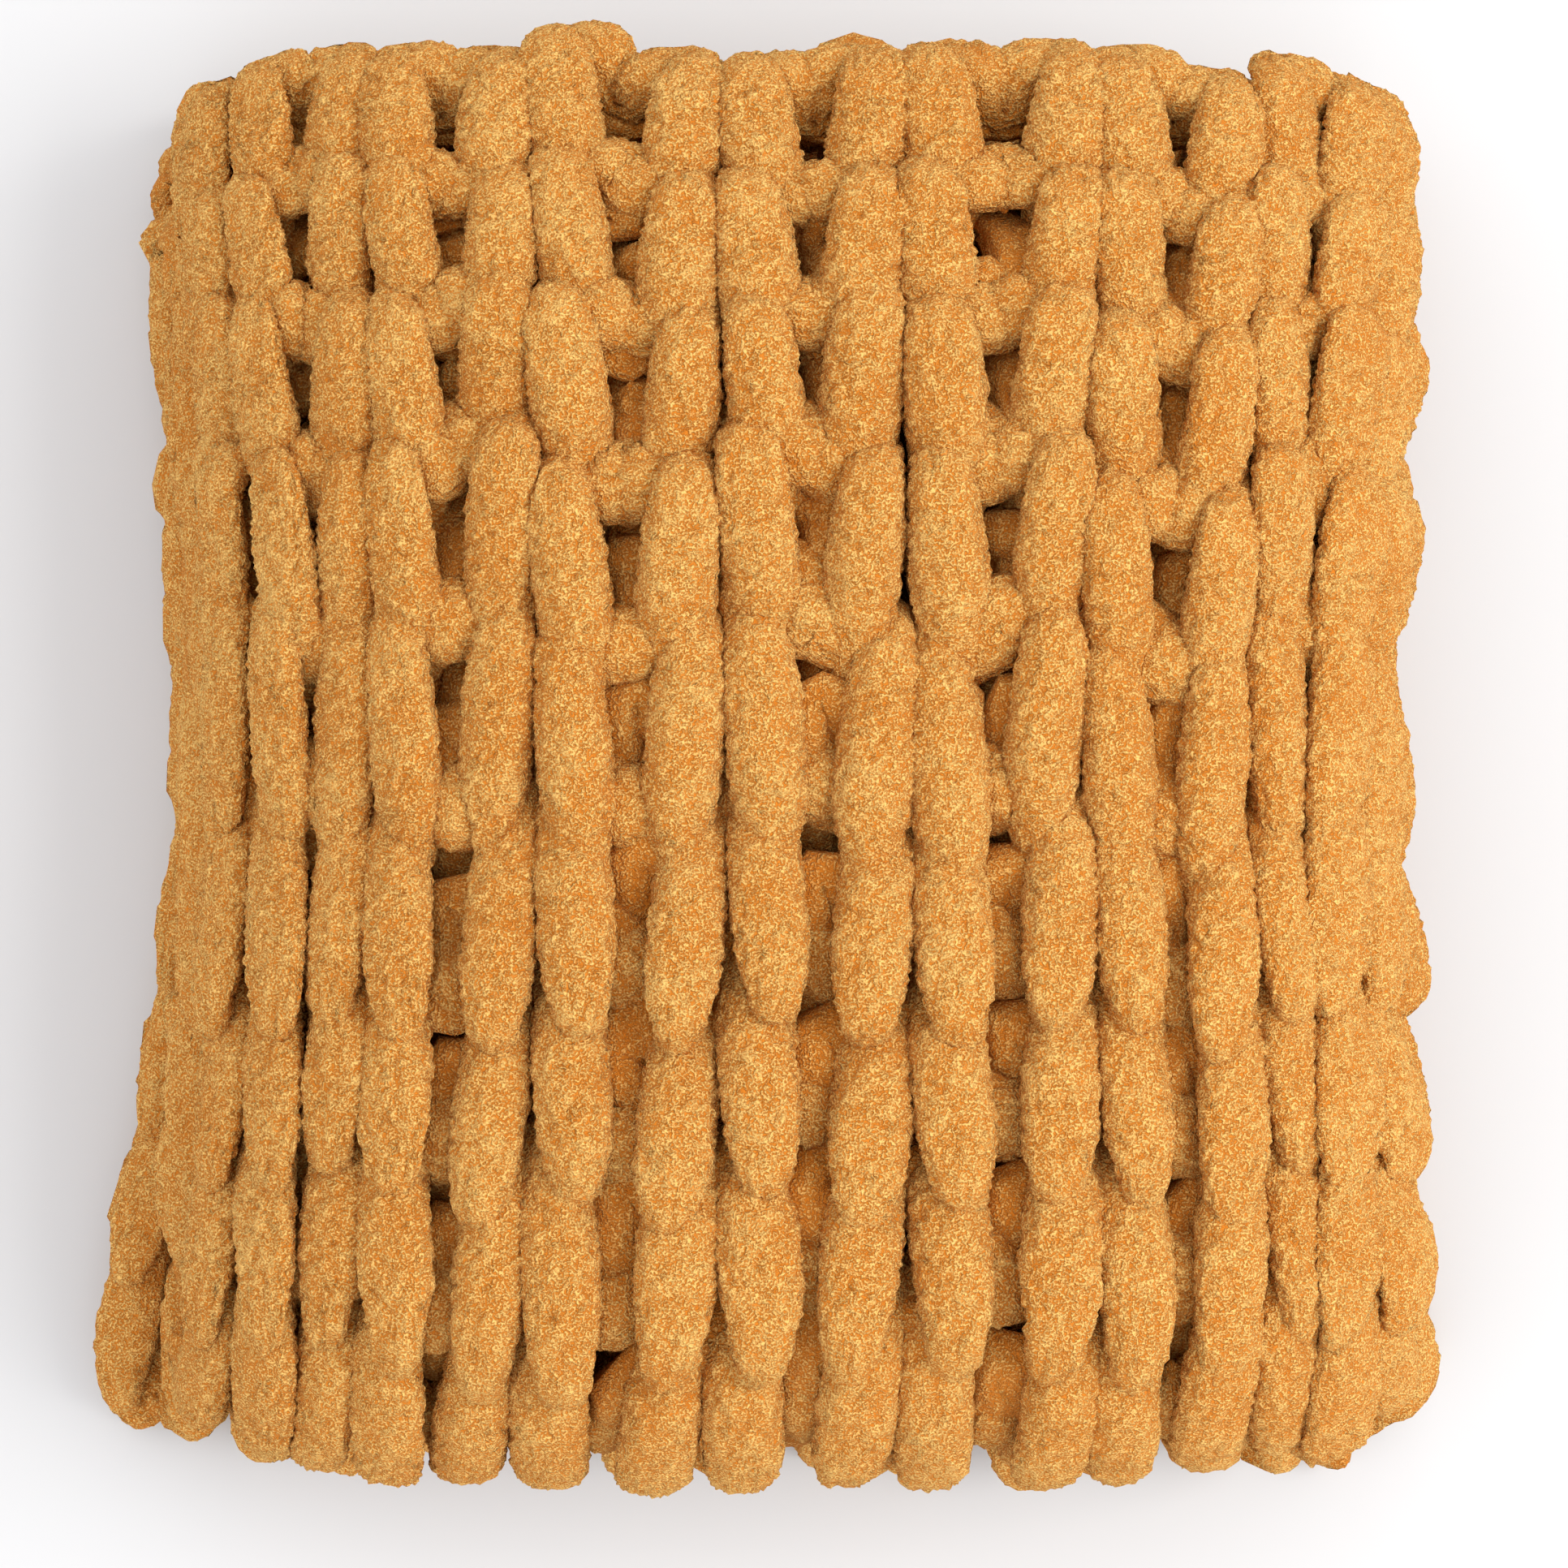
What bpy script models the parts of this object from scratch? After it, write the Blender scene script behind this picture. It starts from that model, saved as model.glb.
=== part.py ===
"""A folded throw blanket, hand-knit in jumbo chenille yarn.

The flat throw is knitted in plain stockinette, folded in half across its width with the knit side outwards, and then
folded in thirds along its length in a zigzag. Each knitted course is one body: a long bar that goes across the top ply,
round the side fold and back along the bottom ply, with a slit between the plies. The two courses at each end fold are
wedges that turn the strip through a quarter circle each. A cast-on edge and a bind-off edge close the two free ends.

Metres. +X across the pile, towards the side fold. +Y towards the back end fold. +Z up. The pile rests on z = 0.
"""

import math

import bmesh
import bpy

# Driving dimensions
COURSE_PITCH = 0.045  # one knitted course along the strip
STRIP_THICKNESS = 0.054  # two plies of knit, which is one third of the pile's height
STRAIGHT_COURSES_OUTER = 8  # flat courses in the lower third and in the top third
STRAIGHT_COURSES_MIDDLE = 7  # flat courses between the two end folds
BEND_COURSES = 4  # two courses in each end fold
EDGE_DEPTH = 0.012  # cast-on and bind-off edges, along the strip
COURSE_GAP = 0.0004  # between one course and the next
LAYER_GAP = 0.0004  # between one layer of the pile and the next
PLY_SLIT = 0.0012  # between the two plies of the strip

HALF_WIDTH_LOWER = 0.190  # at the middle of each third
HALF_WIDTH_MIDDLE = 0.183
HALF_WIDTH_TOP = 0.177
END_FLARE = 0.011  # extra half-width at the ends of each third

WALES_PER_PLY = 8  # columns of stitches across one ply
RIB_DEPTH = 0.0045  # groove between two columns of stitches
PLY_END_RADIUS = 0.009  # rounding of each ply at the selvedge
CREST_SHARE = 0.30  # half the flat top of one column, as a share of its width
SIDE_FOLD_SEGMENTS = 10  # facets round the side fold
SLIT_END_SEGMENTS = 4
CORNER_SEGMENTS = 3
BEND_SEGMENTS = 3  # facets of one course round an end fold
BEND_INNER_RADIUS = 0.0008  # the innermost line of an end fold

YARN_COLOUR = (0.545, 0.232, 0.056, 1.0)
YARN_ROUGHNESS = 0.95
YARN_METALLIC = 0.0

# What follows from them
HALF_THICKNESS = STRIP_THICKNESS / 2
FOLD_REACH = STRAIGHT_COURSES_MIDDLE * COURSE_PITCH / 2  # from the middle to each end fold
LOWER_LEVEL = HALF_THICKNESS
MIDDLE_LEVEL = HALF_THICKNESS + STRIP_THICKNESS
TOP_LEVEL = HALF_THICKNESS + 2 * STRIP_THICKNESS


def clear_scene():
    """Remove every object that the new file starts with."""
    for obj in list(bpy.data.objects):
        bpy.data.objects.remove(obj)


def arc(centre_x, centre_n, radius, start_deg, end_deg, segments):
    """Points along a circular arc, both ends included."""
    points = []
    for i in range(segments + 1):
        angle = math.radians(start_deg + (end_deg - start_deg) * i / segments)
        points.append((centre_x + radius * math.cos(angle), centre_n + radius * math.sin(angle)))
    return points


def ribs(from_x, to_x, level, inward):
    """One face of a ply, from one side to the other: a groove between each two columns of stitches, and a flat crest on each."""
    pitch = (to_x - from_x) / WALES_PER_PLY
    points = []
    for wale in range(WALES_PER_PLY):
        middle = from_x + pitch * (wale + 0.5)
        if wale:
            points.append((from_x + pitch * wale, level + inward * RIB_DEPTH))
        points.append((middle - pitch * CREST_SHARE, level))
        points.append((middle + pitch * CREST_SHARE, level))
    return points


def course_profile(half_width, flat_below):
    """The outline of one course, seen along the strip, as (x, distance above the strip's mid-plane). Anticlockwise."""
    reach = HALF_THICKNESS - LAYER_GAP / 2
    selvedge = -half_width
    side_fold = half_width - reach  # where the side fold starts
    ply_inner = PLY_SLIT / 2
    lower = (
        [(selvedge + PLY_END_RADIUS, -HALF_THICKNESS), (side_fold, -HALF_THICKNESS)]
        if flat_below
        else ribs(selvedge + PLY_END_RADIUS, side_fold, -reach, 1)
    )
    outline = list(lower)
    outline += arc(side_fold, 0, reach, -90, 90, SIDE_FOLD_SEGMENTS)[int(flat_below):]
    outline += ribs(side_fold, selvedge + PLY_END_RADIUS, reach, -1)
    outline += arc(selvedge + PLY_END_RADIUS, reach - PLY_END_RADIUS, PLY_END_RADIUS, 90, 180, CORNER_SEGMENTS)
    outline += [(selvedge, ply_inner + PLY_END_RADIUS / 2), (selvedge + PLY_END_RADIUS / 2, ply_inner)]
    outline += arc(side_fold, 0, ply_inner, 90, -90, SLIT_END_SEGMENTS)
    outline += [(selvedge + PLY_END_RADIUS / 2, -ply_inner), (selvedge, -ply_inner - PLY_END_RADIUS / 2)]
    outline += arc(selvedge + PLY_END_RADIUS, PLY_END_RADIUS - reach, PLY_END_RADIUS, 180, 270, CORNER_SEGMENTS)[
        : CORNER_SEGMENTS + 1 - int(flat_below)
    ]
    return outline


def yarn_material(name):
    """The chenille yarn: a soft, matt, orange-brown pile."""
    material = bpy.data.materials.new(name)
    material.use_nodes = True
    shader = material.node_tree.nodes["Principled BSDF"]
    shader.inputs["Base Color"].default_value = YARN_COLOUR
    shader.inputs["Roughness"].default_value = YARN_ROUGHNESS
    shader.inputs["Metallic"].default_value = YARN_METALLIC
    return material


def finish_object(name, shape):
    """Turn a bmesh into a named object with a material and its faces facing outwards."""
    bmesh.ops.recalc_face_normals(shape, faces=shape.faces[:])
    mesh = bpy.data.meshes.new(name)
    shape.to_mesh(mesh)
    shape.free()
    mesh.materials.append(yarn_material(name + "_yarn"))
    obj = bpy.data.objects.new(name, mesh)
    bpy.context.scene.collection.objects.link(obj)
    return obj


def straight_course(name, from_y, to_y, level, half_width, up):
    """A flat course between two places along Y. up is 1 when the strip's upper side faces up, and -1 when it faces down."""
    shape = bmesh.new()
    flat_below = level == LOWER_LEVEL
    start = from_y + COURSE_GAP / 2
    corners = [shape.verts.new((x, start, level + up * n)) for x, n in course_profile(half_width, flat_below)]
    face = shape.faces.new(corners)
    grown = bmesh.ops.extrude_face_region(shape, geom=[face], use_keep_orig=True)
    moved = [item for item in grown["geom"] if isinstance(item, bmesh.types.BMVert)]
    bmesh.ops.translate(shape, verts=moved, vec=(0, to_y - from_y - COURSE_GAP, 0))
    return finish_object(name, shape)


def bend_course(name, fold_y, fold_z, towards, start_deg, end_deg, half_width):
    """A quarter-circle course at an end fold. towards is 1 for the back fold, and -1 for the front fold."""
    shape = bmesh.new()
    half_gap = math.degrees(COURSE_GAP / STRIP_THICKNESS)
    first, last = start_deg + half_gap, end_deg - half_gap
    # The profile stands with its mid-plane one half-thickness out from the fold's inner line, and is spun round it.
    # The innermost side stays a little way off the axis, so that no facet shrinks to nothing.
    profile = [
        (x, max(n + HALF_THICKNESS, BEND_INNER_RADIUS)) for x, n in course_profile(half_width, False)
    ]
    kept = [point for i, point in enumerate(profile) if point != profile[i - 1]]
    angle = math.radians(first)
    corners = [
        shape.verts.new((x, fold_y + towards * r * math.cos(angle), fold_z + r * math.sin(angle))) for x, r in kept
    ]
    face = shape.faces.new(corners)
    bmesh.ops.spin(
        shape,
        geom=[face],
        cent=(0, fold_y, fold_z),
        axis=(towards, 0, 0),
        angle=math.radians(last - first),
        steps=BEND_SEGMENTS,
        use_duplicate=False,
    )
    return finish_object(name, shape)


def flared(half_width, y):
    """The half-width of a course at this place along the pile, which grows towards both ends."""
    reach = FOLD_REACH + COURSE_PITCH
    return half_width + END_FLARE * min(1.0, abs(y) / reach) ** 2


def course_name(number):
    """The name of a course. They are counted from the cast-on edge, which is the free end on top."""
    return f"knit_course_{number:02d}"


def build():
    """The courses from the bottom of the pile to the top, so from the last one knitted to the first."""
    lower_end = FOLD_REACH - STRAIGHT_COURSES_OUTER * COURSE_PITCH
    top_end = -lower_end
    number = 2 * STRAIGHT_COURSES_OUTER + STRAIGHT_COURSES_MIDDLE + BEND_COURSES + 1

    straight_course(
        "bind_off_edge", lower_end - EDGE_DEPTH, lower_end, LOWER_LEVEL, flared(HALF_WIDTH_LOWER, lower_end), 1
    )
    for i in range(STRAIGHT_COURSES_OUTER):
        number -= 1
        start = lower_end + i * COURSE_PITCH
        width = flared(HALF_WIDTH_LOWER, start + COURSE_PITCH / 2)
        straight_course(course_name(number), start, start + COURSE_PITCH, LOWER_LEVEL, width, 1)

    back_width = flared(HALF_WIDTH_LOWER, FOLD_REACH)
    number -= 1
    bend_course(course_name(number), FOLD_REACH, STRIP_THICKNESS, 1, -90, 0, back_width)
    number -= 1
    back_width = flared(HALF_WIDTH_MIDDLE, FOLD_REACH)
    bend_course(course_name(number), FOLD_REACH, STRIP_THICKNESS, 1, 0, 90, back_width)

    for i in range(STRAIGHT_COURSES_MIDDLE):
        number -= 1
        start = FOLD_REACH - (i + 1) * COURSE_PITCH
        width = flared(HALF_WIDTH_MIDDLE, start + COURSE_PITCH / 2)
        straight_course(course_name(number), start, start + COURSE_PITCH, MIDDLE_LEVEL, width, -1)

    number -= 1
    front_width = flared(HALF_WIDTH_MIDDLE, FOLD_REACH)
    bend_course(course_name(number), -FOLD_REACH, 2 * STRIP_THICKNESS, -1, -90, 0, front_width)
    number -= 1
    front_width = flared(HALF_WIDTH_TOP, FOLD_REACH)
    bend_course(course_name(number), -FOLD_REACH, 2 * STRIP_THICKNESS, -1, 0, 90, front_width)

    for i in range(STRAIGHT_COURSES_OUTER):
        number -= 1
        start = -FOLD_REACH + i * COURSE_PITCH
        width = flared(HALF_WIDTH_TOP, start + COURSE_PITCH / 2)
        straight_course(course_name(number), start, start + COURSE_PITCH, TOP_LEVEL, width, 1)
    straight_course("cast_on_edge", top_end, top_end + EDGE_DEPTH, TOP_LEVEL, flared(HALF_WIDTH_TOP, top_end), 1)


clear_scene()
build()
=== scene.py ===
"""A folded throw blanket, hand-knit in jumbo chenille yarn.

Every knitted course is one run of real yarn: a thick velvety tube that makes sixteen loops, each pulled
through the loop of the course before it. The flat throw is folded in half across its width and then in
thirds along its length, so a course goes across the top ply of the strip, round the side fold and back
along the bottom ply.
"""
import math

import bpy
import numpy as np
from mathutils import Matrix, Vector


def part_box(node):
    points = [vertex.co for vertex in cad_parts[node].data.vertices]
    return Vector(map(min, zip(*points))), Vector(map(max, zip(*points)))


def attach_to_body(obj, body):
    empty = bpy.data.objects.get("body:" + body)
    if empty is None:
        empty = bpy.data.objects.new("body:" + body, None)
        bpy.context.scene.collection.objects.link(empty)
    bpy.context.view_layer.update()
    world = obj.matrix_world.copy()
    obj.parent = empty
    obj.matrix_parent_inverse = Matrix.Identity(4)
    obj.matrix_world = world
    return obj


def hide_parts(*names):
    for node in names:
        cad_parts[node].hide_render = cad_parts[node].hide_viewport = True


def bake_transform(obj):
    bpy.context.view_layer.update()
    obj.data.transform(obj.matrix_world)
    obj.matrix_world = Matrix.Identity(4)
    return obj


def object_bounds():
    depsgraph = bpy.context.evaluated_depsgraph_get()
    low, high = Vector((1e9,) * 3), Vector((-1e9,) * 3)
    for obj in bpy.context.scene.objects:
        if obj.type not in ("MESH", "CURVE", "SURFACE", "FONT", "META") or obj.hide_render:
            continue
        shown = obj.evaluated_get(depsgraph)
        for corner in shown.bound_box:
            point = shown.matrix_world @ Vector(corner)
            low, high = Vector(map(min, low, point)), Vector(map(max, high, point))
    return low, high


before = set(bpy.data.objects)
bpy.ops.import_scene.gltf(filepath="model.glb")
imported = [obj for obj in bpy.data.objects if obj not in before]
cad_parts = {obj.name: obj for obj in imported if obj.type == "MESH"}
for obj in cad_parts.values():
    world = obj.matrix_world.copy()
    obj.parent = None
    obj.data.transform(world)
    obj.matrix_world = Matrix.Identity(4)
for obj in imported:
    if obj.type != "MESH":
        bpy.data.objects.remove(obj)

CAD_BOX = [list(corner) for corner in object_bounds()]
MM = 0.001

bl_info = {
    "name": "Folded Chenille Throw",
    "version": (1, 0, 0),
    "blender": (4, 5, 0),
    "location": "3D View > Sidebar > Throw",
    "description": "Knits a folded throw blanket, course by course, in jumbo chenille yarn",
    "category": "Add Mesh",
}

# ---------------------------------------------------------------- the strip, as the frame gives it

COURSES = 27
WALES_PER_PLY = 8
WALES = 2 * WALES_PER_PLY
LOWER_BEND, MIDDLE_START = 8, 10  # courses counted from the bottom of the pile
FRONT_BEND, TOP_START = 17, 19
STRIP_THICKNESS = CAD_BOX[1][2] / 3
HALF_THICKNESS = STRIP_THICKNESS / 2
PLY_OFFSET = STRIP_THICKNESS / 4  # from the strip's mid-plane to the middle of a ply


def course_node(place):
    """The frame's name for the course at this place, counted from the bottom of the pile."""
    return f"knit_course_{COURSES - place:02d}"


def node_span(name, axis):
    low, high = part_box(name)
    return low[axis], high[axis]


def half_width_of(place):
    low, high = node_span(course_node(place), 0)
    return (high - low) / 2


FOLD_REACH = node_span(course_node(LOWER_BEND), 1)[0]
COURSE_PITCH = (FOLD_REACH - node_span(course_node(0), 1)[0]) / LOWER_BEND
HALF_WIDTHS = [half_width_of(place) for place in range(COURSES)]

# ---------------------------------------------------------------- how the strip lies, in metres

# Across the strip. A column of loops is a wale, and its place is counted from the selvedge on top.
WALE_PITCH = 0.052
WALE_SPREAD = 0.0517  # the width of a column in the middle of the pile
WALE_CROWDING = 0.000502  # how much the columns close up towards the sides
NOMINAL_HALF_WIDTH = 0.177
SIDE_FOLD_WALES = 0.8  # columns from the middle of the side fold to the flat of a ply

# Along the strip
BEND_HALF = 0.95  # courses in half an end fold, halfway through the strip
PLY_SLIP = 0.36  # how many more of them the outer ply takes
FREE_END_COURSES = 3  # courses that shorten as they droop over the free end on top
FREE_END_CROWDING = 0.25

# A bottom ply is drawn up against the one above it, and its strands swell into the gaps of that one.
UNDER_PLY_LIFT = 0.011
UNDER_PLY_FROM = 0.006  # below this height in its own fabric a strand swells
UNDER_PLY_SWELL = 2.5  # this fast at first
UNDER_PLY_MOST = 0.040  # and never further than this
UNDER_PLY_SHIFT = 0.020  # how far its columns lie beside those of the top ply, in the middle
UNDER_PLY_SKEW = 0.45  # how far its courses lie beside theirs, in courses
UNDER_PLY_BREADTH = 0.8  # below 1, more of the ply's width takes part
UNDER_PLY_ENDS = 1.2  # courses from a free end to where it has settled against the top ply

# Strands far from the strip's mid-plane are pressed flatter.
SOFT_FROM = 0.024
SOFT_REACH = 0.016
FREE_SIDE = 0.0045  # the upper side of the top third has nothing on it, so its strands stand freer
INNER_LIMIT = HALF_THICKNESS - 0.0006  # nothing goes past the line that an end fold turns about

# The pile sinks under its own weight.
CROWN_LIFT = 1.015
CROWN_DROP = 0.36  # the share of the height that the sides lose
CROWN_POWER = 3.3
CROWN_MOST = 1.06  # the furthest that a point counts as being to the side, in half-widths
BACK_DROP = 0.25  # the share that the ends lose
FRONT_DROP = 0.13
END_REACH = 0.21
END_MOST = 1.1
CORNER_ROUNDING = 0.009
FRONT_FLARE = 0.017  # how much further the bottom layer spreads at the front
FLARE_COURSES = 4
LAYER_SHIFT = {"lower": -0.004, "middle": 0.0, "top": 0.007}
FLOOR_GAP = 0.0004

# Which courses lie in the end folds, and how far a fold's turn reaches
FOLD_MARGIN = 0.15  # courses beyond an end fold that still take part in its turn
BACK_FOLD_COURSES = range(LOWER_BEND - 1, MIDDLE_START + 2)
FRONT_FOLD_COURSES = range(FRONT_BEND - 2, TOP_START + 1)

# ---------------------------------------------------------------- the yarn's path in the flat knit

# One side of a loop, from the middle of its head to the middle of the bar beside its foot: millimetres from
# the column's middle, courses from the loop's middle, millimetres out, half-width, half-depth.
LOOP_SIDE = (
    (0.0, -0.62, -9.0, 8.0, 5.6),
    (8.0, -0.76, -8.5, 7.2, 5.8),
    (12.2, -0.79, -4.0, 6.4, 6.4),
    (12.9, -0.68, 1.8, 7.8, 8.0),
    (12.3, -0.44, 5.0, 10.4, 9.8),
    (10.9, -0.10, 6.6, 11.3, 10.4),
    (9.4, 0.22, 6.0, 11.0, 10.0),
    (8.2, 0.52, 3.8, 9.6, 9.0),
    (7.6, 0.72, -2.0, 7.8, 7.4),
    (11.5, 0.78, -7.0, 7.4, 6.2),
    (19.0, 0.64, -1.0, 10.6, 7.8),
)
# The bar between two loops: courses from the loop's middle, millimetres out, half-width, half-depth.
BAR = (0.62, 1.2, 11.6, 8.3)
FREE_END_BAR = (0.30, -9.5, 9.0, 6.5)  # beyond the last course there is nothing to hold its bars out

# The end of a course's yarn: columns from the selvedge, courses from the loop's middle, share of TURN_UP.
YARN_END = (
    (0.12, 0.98, 1.0),
    (0.08, 0.86, 0.5),
    (0.16, 0.72, 0.0),
)
YARN_END_SIZE = (-10.0, 7.4, 5.4)  # millimetres out, half-width, half-depth
TURN_UP = 0.24  # courses that the yarn's end turns up behind the course before

# One arch of a chained edge: columns along it, courses that it arches out, then the same three.
EDGE_ARCH = (
    (0.02, 0.0, -11.0, 7.5, 5.0),
    (0.26, 0.06, -10.0, 8.0, 5.5),
    (0.5, 0.10, -9.5, 8.5, 5.5),
    (0.74, 0.06, -10.0, 8.0, 5.5),
)
EDGE_END = (0.05, -10.0, 8.0, 5.5)  # columns from the selvedge, and the same three
CAST_ON_PLACE = COURSES - 0.28
BIND_OFF_PLACE = 0.36

# How the legs of the loops lie over each other, in millimetres
SIDE_LAP = 9.0  # a leg stands over its neighbour towards the side, where columns close up
END_TILT = 17.0  # a leg's one end stands over its other end, for each course of its length
TILT_REACH = 35.0  # from the middle of a third to where that is complete
SELVEDGE_SPREAD = 4.9  # the outermost leg lies further out, and its neighbour half as much
FOLD_CLOSING = 7.0  # the columns at the side fold close up to their neighbours
FRONT_FROM, FRONT_OVER = -5.0, 8.0  # the heights over which a strand comes to the front
LEG_FROM_MIDDLE = 0.22  # columns from the middle of its column to a leg

# Hand-made unevenness, in millimetres
COLUMN_DRIFT = (15.0, 1.7, 0.35, 21)  # along a column: how far, lumps for each column and course, seed
COLUMN_SWAY = (2.8, 0.8, 0.28, 22)  # to the side
LOOP_LEAN = 0.9
LOOP_SWELL = 0.03  # as a share of the yarn's size
LEG_WANDER = (1.05, 2.4, 0.6)  # to the side, along, out
TILT_WANDER = 0.25  # as a share of the tilt
SELVEDGE_WANDER = 1.82
BAR_WANDER = 1.1
EDGE_WANDER = 0.7
COURSE_SEED = 1000
EDGE_SEED = 50

# ---------------------------------------------------------------- the yarn itself

YARN_FIRMNESS = 0.48  # how far the yarn keeps its own width where the columns close up, from 0 to 1
FRONT_ARC = math.radians(100)  # to each side of the yarn's front, where its rings have more corners
END_ROUNDING = 0.009
END_LEAST = 0.02

# Relief of the cut pile: share, size of the lumps in metres, seed. The nap differs from point to point.
PILE_NOISES = (
    (0.25, 0.013, 3),
    (0.20, 0.0034, 5),
    (0.26, 0.0017, 11),
)
NAP_SHARE = 0.38
CREASE_SHADE_FROM = 0.004  # below this height in the fabric a strand lies between and under others, and its tone is darkened there: painted shade in the creases
# How far down the painted crease shade deepens, and how strongly it darkens the tone
CREASE_SHADE_DEPTH = 0.012
CREASE_SHADE_SHARE = 0.3

# Rings of the tube: corners on the front and on the back of a strand
TOP_CORNERS = (27, 8)
OTHER_CORNERS = (18, 7)
EDGE_CORNERS = (18, 8)

# How fine the rings lie: 1 is as fine as on a strand that shows on top, and 0 as coarse as inside the pile.
HIDDEN_TOP_FINENESS = 0.45
END_FOLD_FINENESS = 0.72
SIDE_FINENESS = 0.8
SHOWS_FROM, SHOWS_OVER = -2.5, 3.0  # the heights in millimetres over which a strand comes to show its pile
SIDE_FOLD_SHOWS, SIDE_FOLD_FADE = 0.9, 0.4  # in columns from the middle of the side fold
UPPER_PLY_SHOWS, UPPER_PLY_FADE = 1.2, 0.4  # in columns beyond the middle of the side fold
SELVEDGE_SHOWS, SELVEDGE_FADE = 0.7, 0.3  # in columns from the selvedge
EDGE_COARSENESS = 1.15

# Colour and bump of the pile: lumps for each metre, detail, roughness
YARN_MATERIAL = "brushed_chenille_pile"
TUFT_NOISE = (1500.0, 1.0, 0.5)
CLUMP_NOISE = (300.0, 2.0, 0.5)
PATCH_NOISE = (30.0, 3.0, 0.55)
TUFT_EDGES = (0.32, 0.68)
CLUMP_EDGES = (0.34, 0.66)
TONE_EDGES = (0.62, 1.42)
# The height share carries the painted shade in the creases as well as the pile's relief
TONE_SHARES = {"height": 0.7, "tufts": 0.75, "clumps": 0.15, "patches": 0.4}
BUMP_SHARES = {"tufts": 0.55, "clumps": 0.6}
BUMP_DEPTH = 0.0012
YARN_SURFACE = {
    "Roughness": 0.92,
    "Specular IOR Level": 0.05,
    "Sheen Weight": 0.15,
    "Sheen Roughness": 0.42,
    "Sheen Tint": (1.0, 0.66, 0.28, 1.0),
}

# ---------------------------------------------------------------- the stage

FLOOR_SIZE = 14
FLOOR_ROUGHNESS = 0.9
KEY_PLACE = (1.75, 0.05, 1.95)
KEY_SIZE = 1.4
KEY_POWER = 41.0
KEY_COLOUR = (1.0, 0.985, 0.96)
SKY_COLOUR = (0.97, 0.975, 1.0, 1.0)
SKY_STRENGTH = 1.43
SENSOR_WIDTH = 36


# ---------------------------------------------------------------- noise

AXIS_HASH = (374761393, 668265263, 2147483647)
SEED_HASH = 974634777
MIX_HASH = (1274126177, 2246822519)
LOW_32_BITS = 0xFFFFFFFF
LOW_24_BITS = 0xFFFFFF


def lattice(ix, iy, iz, seed):
    """A repeatable random number from 0 to 1 at each whole-number point."""
    h = (ix * AXIS_HASH[0] + iy * AXIS_HASH[1] + iz * AXIS_HASH[2] + seed * SEED_HASH) & LOW_32_BITS
    h = ((h ^ (h >> 13)) * MIX_HASH[0]) & LOW_32_BITS
    h = ((h ^ (h >> 16)) * MIX_HASH[1]) & LOW_32_BITS
    return ((h ^ (h >> 15)) & LOW_24_BITS) / float(LOW_24_BITS)


def soft_noise(points, cell, seed):
    """Smooth noise from -1 to 1 at each point, with lumps of about the size of a cell."""
    scaled = np.asarray(points) / cell
    whole = np.floor(scaled).astype(np.int64)
    part = scaled - whole
    part = part * part * (3 - 2 * part)
    total = np.zeros(len(scaled))
    for dx in (0, 1):
        for dy in (0, 1):
            for dz in (0, 1):
                weight = (
                    (part[:, 0] if dx else 1 - part[:, 0])
                    * (part[:, 1] if dy else 1 - part[:, 1])
                    * (part[:, 2] if dz else 1 - part[:, 2])
                )
                total += weight * lattice(whole[:, 0] + dx, whole[:, 1] + dy, whole[:, 2] + dz, seed)
    return total * 2 - 1


# ---------------------------------------------------------------- where the knit lies

def bends(height):
    """The course places at which the back fold and the front fold start and end, for a ply at this height.

    A ply on the outside of an end fold takes more courses to get round it than one on the inside, so
    height, the ply's own height over the mid-plane, slides the plies of the middle third along each other.
    """
    slip = 2 * PLY_SLIP * height / PLY_OFFSET
    back_in = (LOWER_BEND + MIDDLE_START) / 2 - BEND_HALF
    front_out = (FRONT_BEND + TOP_START) / 2 + BEND_HALF
    return back_in, back_in + 2 * BEND_HALF - slip, front_out - 2 * BEND_HALF - slip, front_out


def strip_line(place, height):
    """The strip's mid-line at these course places.

    It gives y, z, the way that the strip's upper side faces (y, z), and 1 in the back fold, -1 in the front
    fold and 0 elsewhere.
    """
    place = np.asarray(place, float)
    y, z = np.zeros_like(place), np.zeros_like(place)
    ny, nz = np.zeros_like(place), np.zeros_like(place)
    back_in, back_out, front_in, front_out = bends(height)

    lower = place <= back_in
    y[lower] = FOLD_REACH - (back_in - place)[lower] * COURSE_PITCH
    z[lower], nz[lower] = HALF_THICKNESS, 1

    back = (place > back_in) & (place <= back_out)
    angle = ((place - back_in) / (back_out - back_in))[back] * math.pi - math.pi / 2
    y[back] = FOLD_REACH + HALF_THICKNESS * np.cos(angle)
    z[back] = STRIP_THICKNESS + HALF_THICKNESS * np.sin(angle)
    ny[back], nz[back] = -np.cos(angle), -np.sin(angle)

    middle = (place > back_out) & (place <= front_in)
    share = ((place - back_out) / (front_in - back_out))[middle]
    y[middle] = FOLD_REACH - share * 2 * FOLD_REACH
    z[middle], nz[middle] = 3 * HALF_THICKNESS, -1

    front = (place > front_in) & (place <= front_out)
    angle = ((place - front_in) / (front_out - front_in))[front] * math.pi - math.pi / 2
    y[front] = -FOLD_REACH - HALF_THICKNESS * np.cos(angle)
    z[front] = 2 * STRIP_THICKNESS + HALF_THICKNESS * np.sin(angle)
    ny[front], nz[front] = -np.cos(angle), np.sin(angle)

    top = place > front_out
    late = np.maximum(0, place[top] - (COURSES - FREE_END_COURSES))
    along = (place - front_out)[top] - FREE_END_CROWDING * late * late / (2 * FREE_END_COURSES)
    y[top] = -FOLD_REACH + along * COURSE_PITCH
    z[top], nz[top] = 5 * HALF_THICKNESS, 1
    bending = np.where(back, 1.0, 0.0) - np.where(front, 1.0, 0.0)
    return y, z, ny, nz, bending


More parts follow.
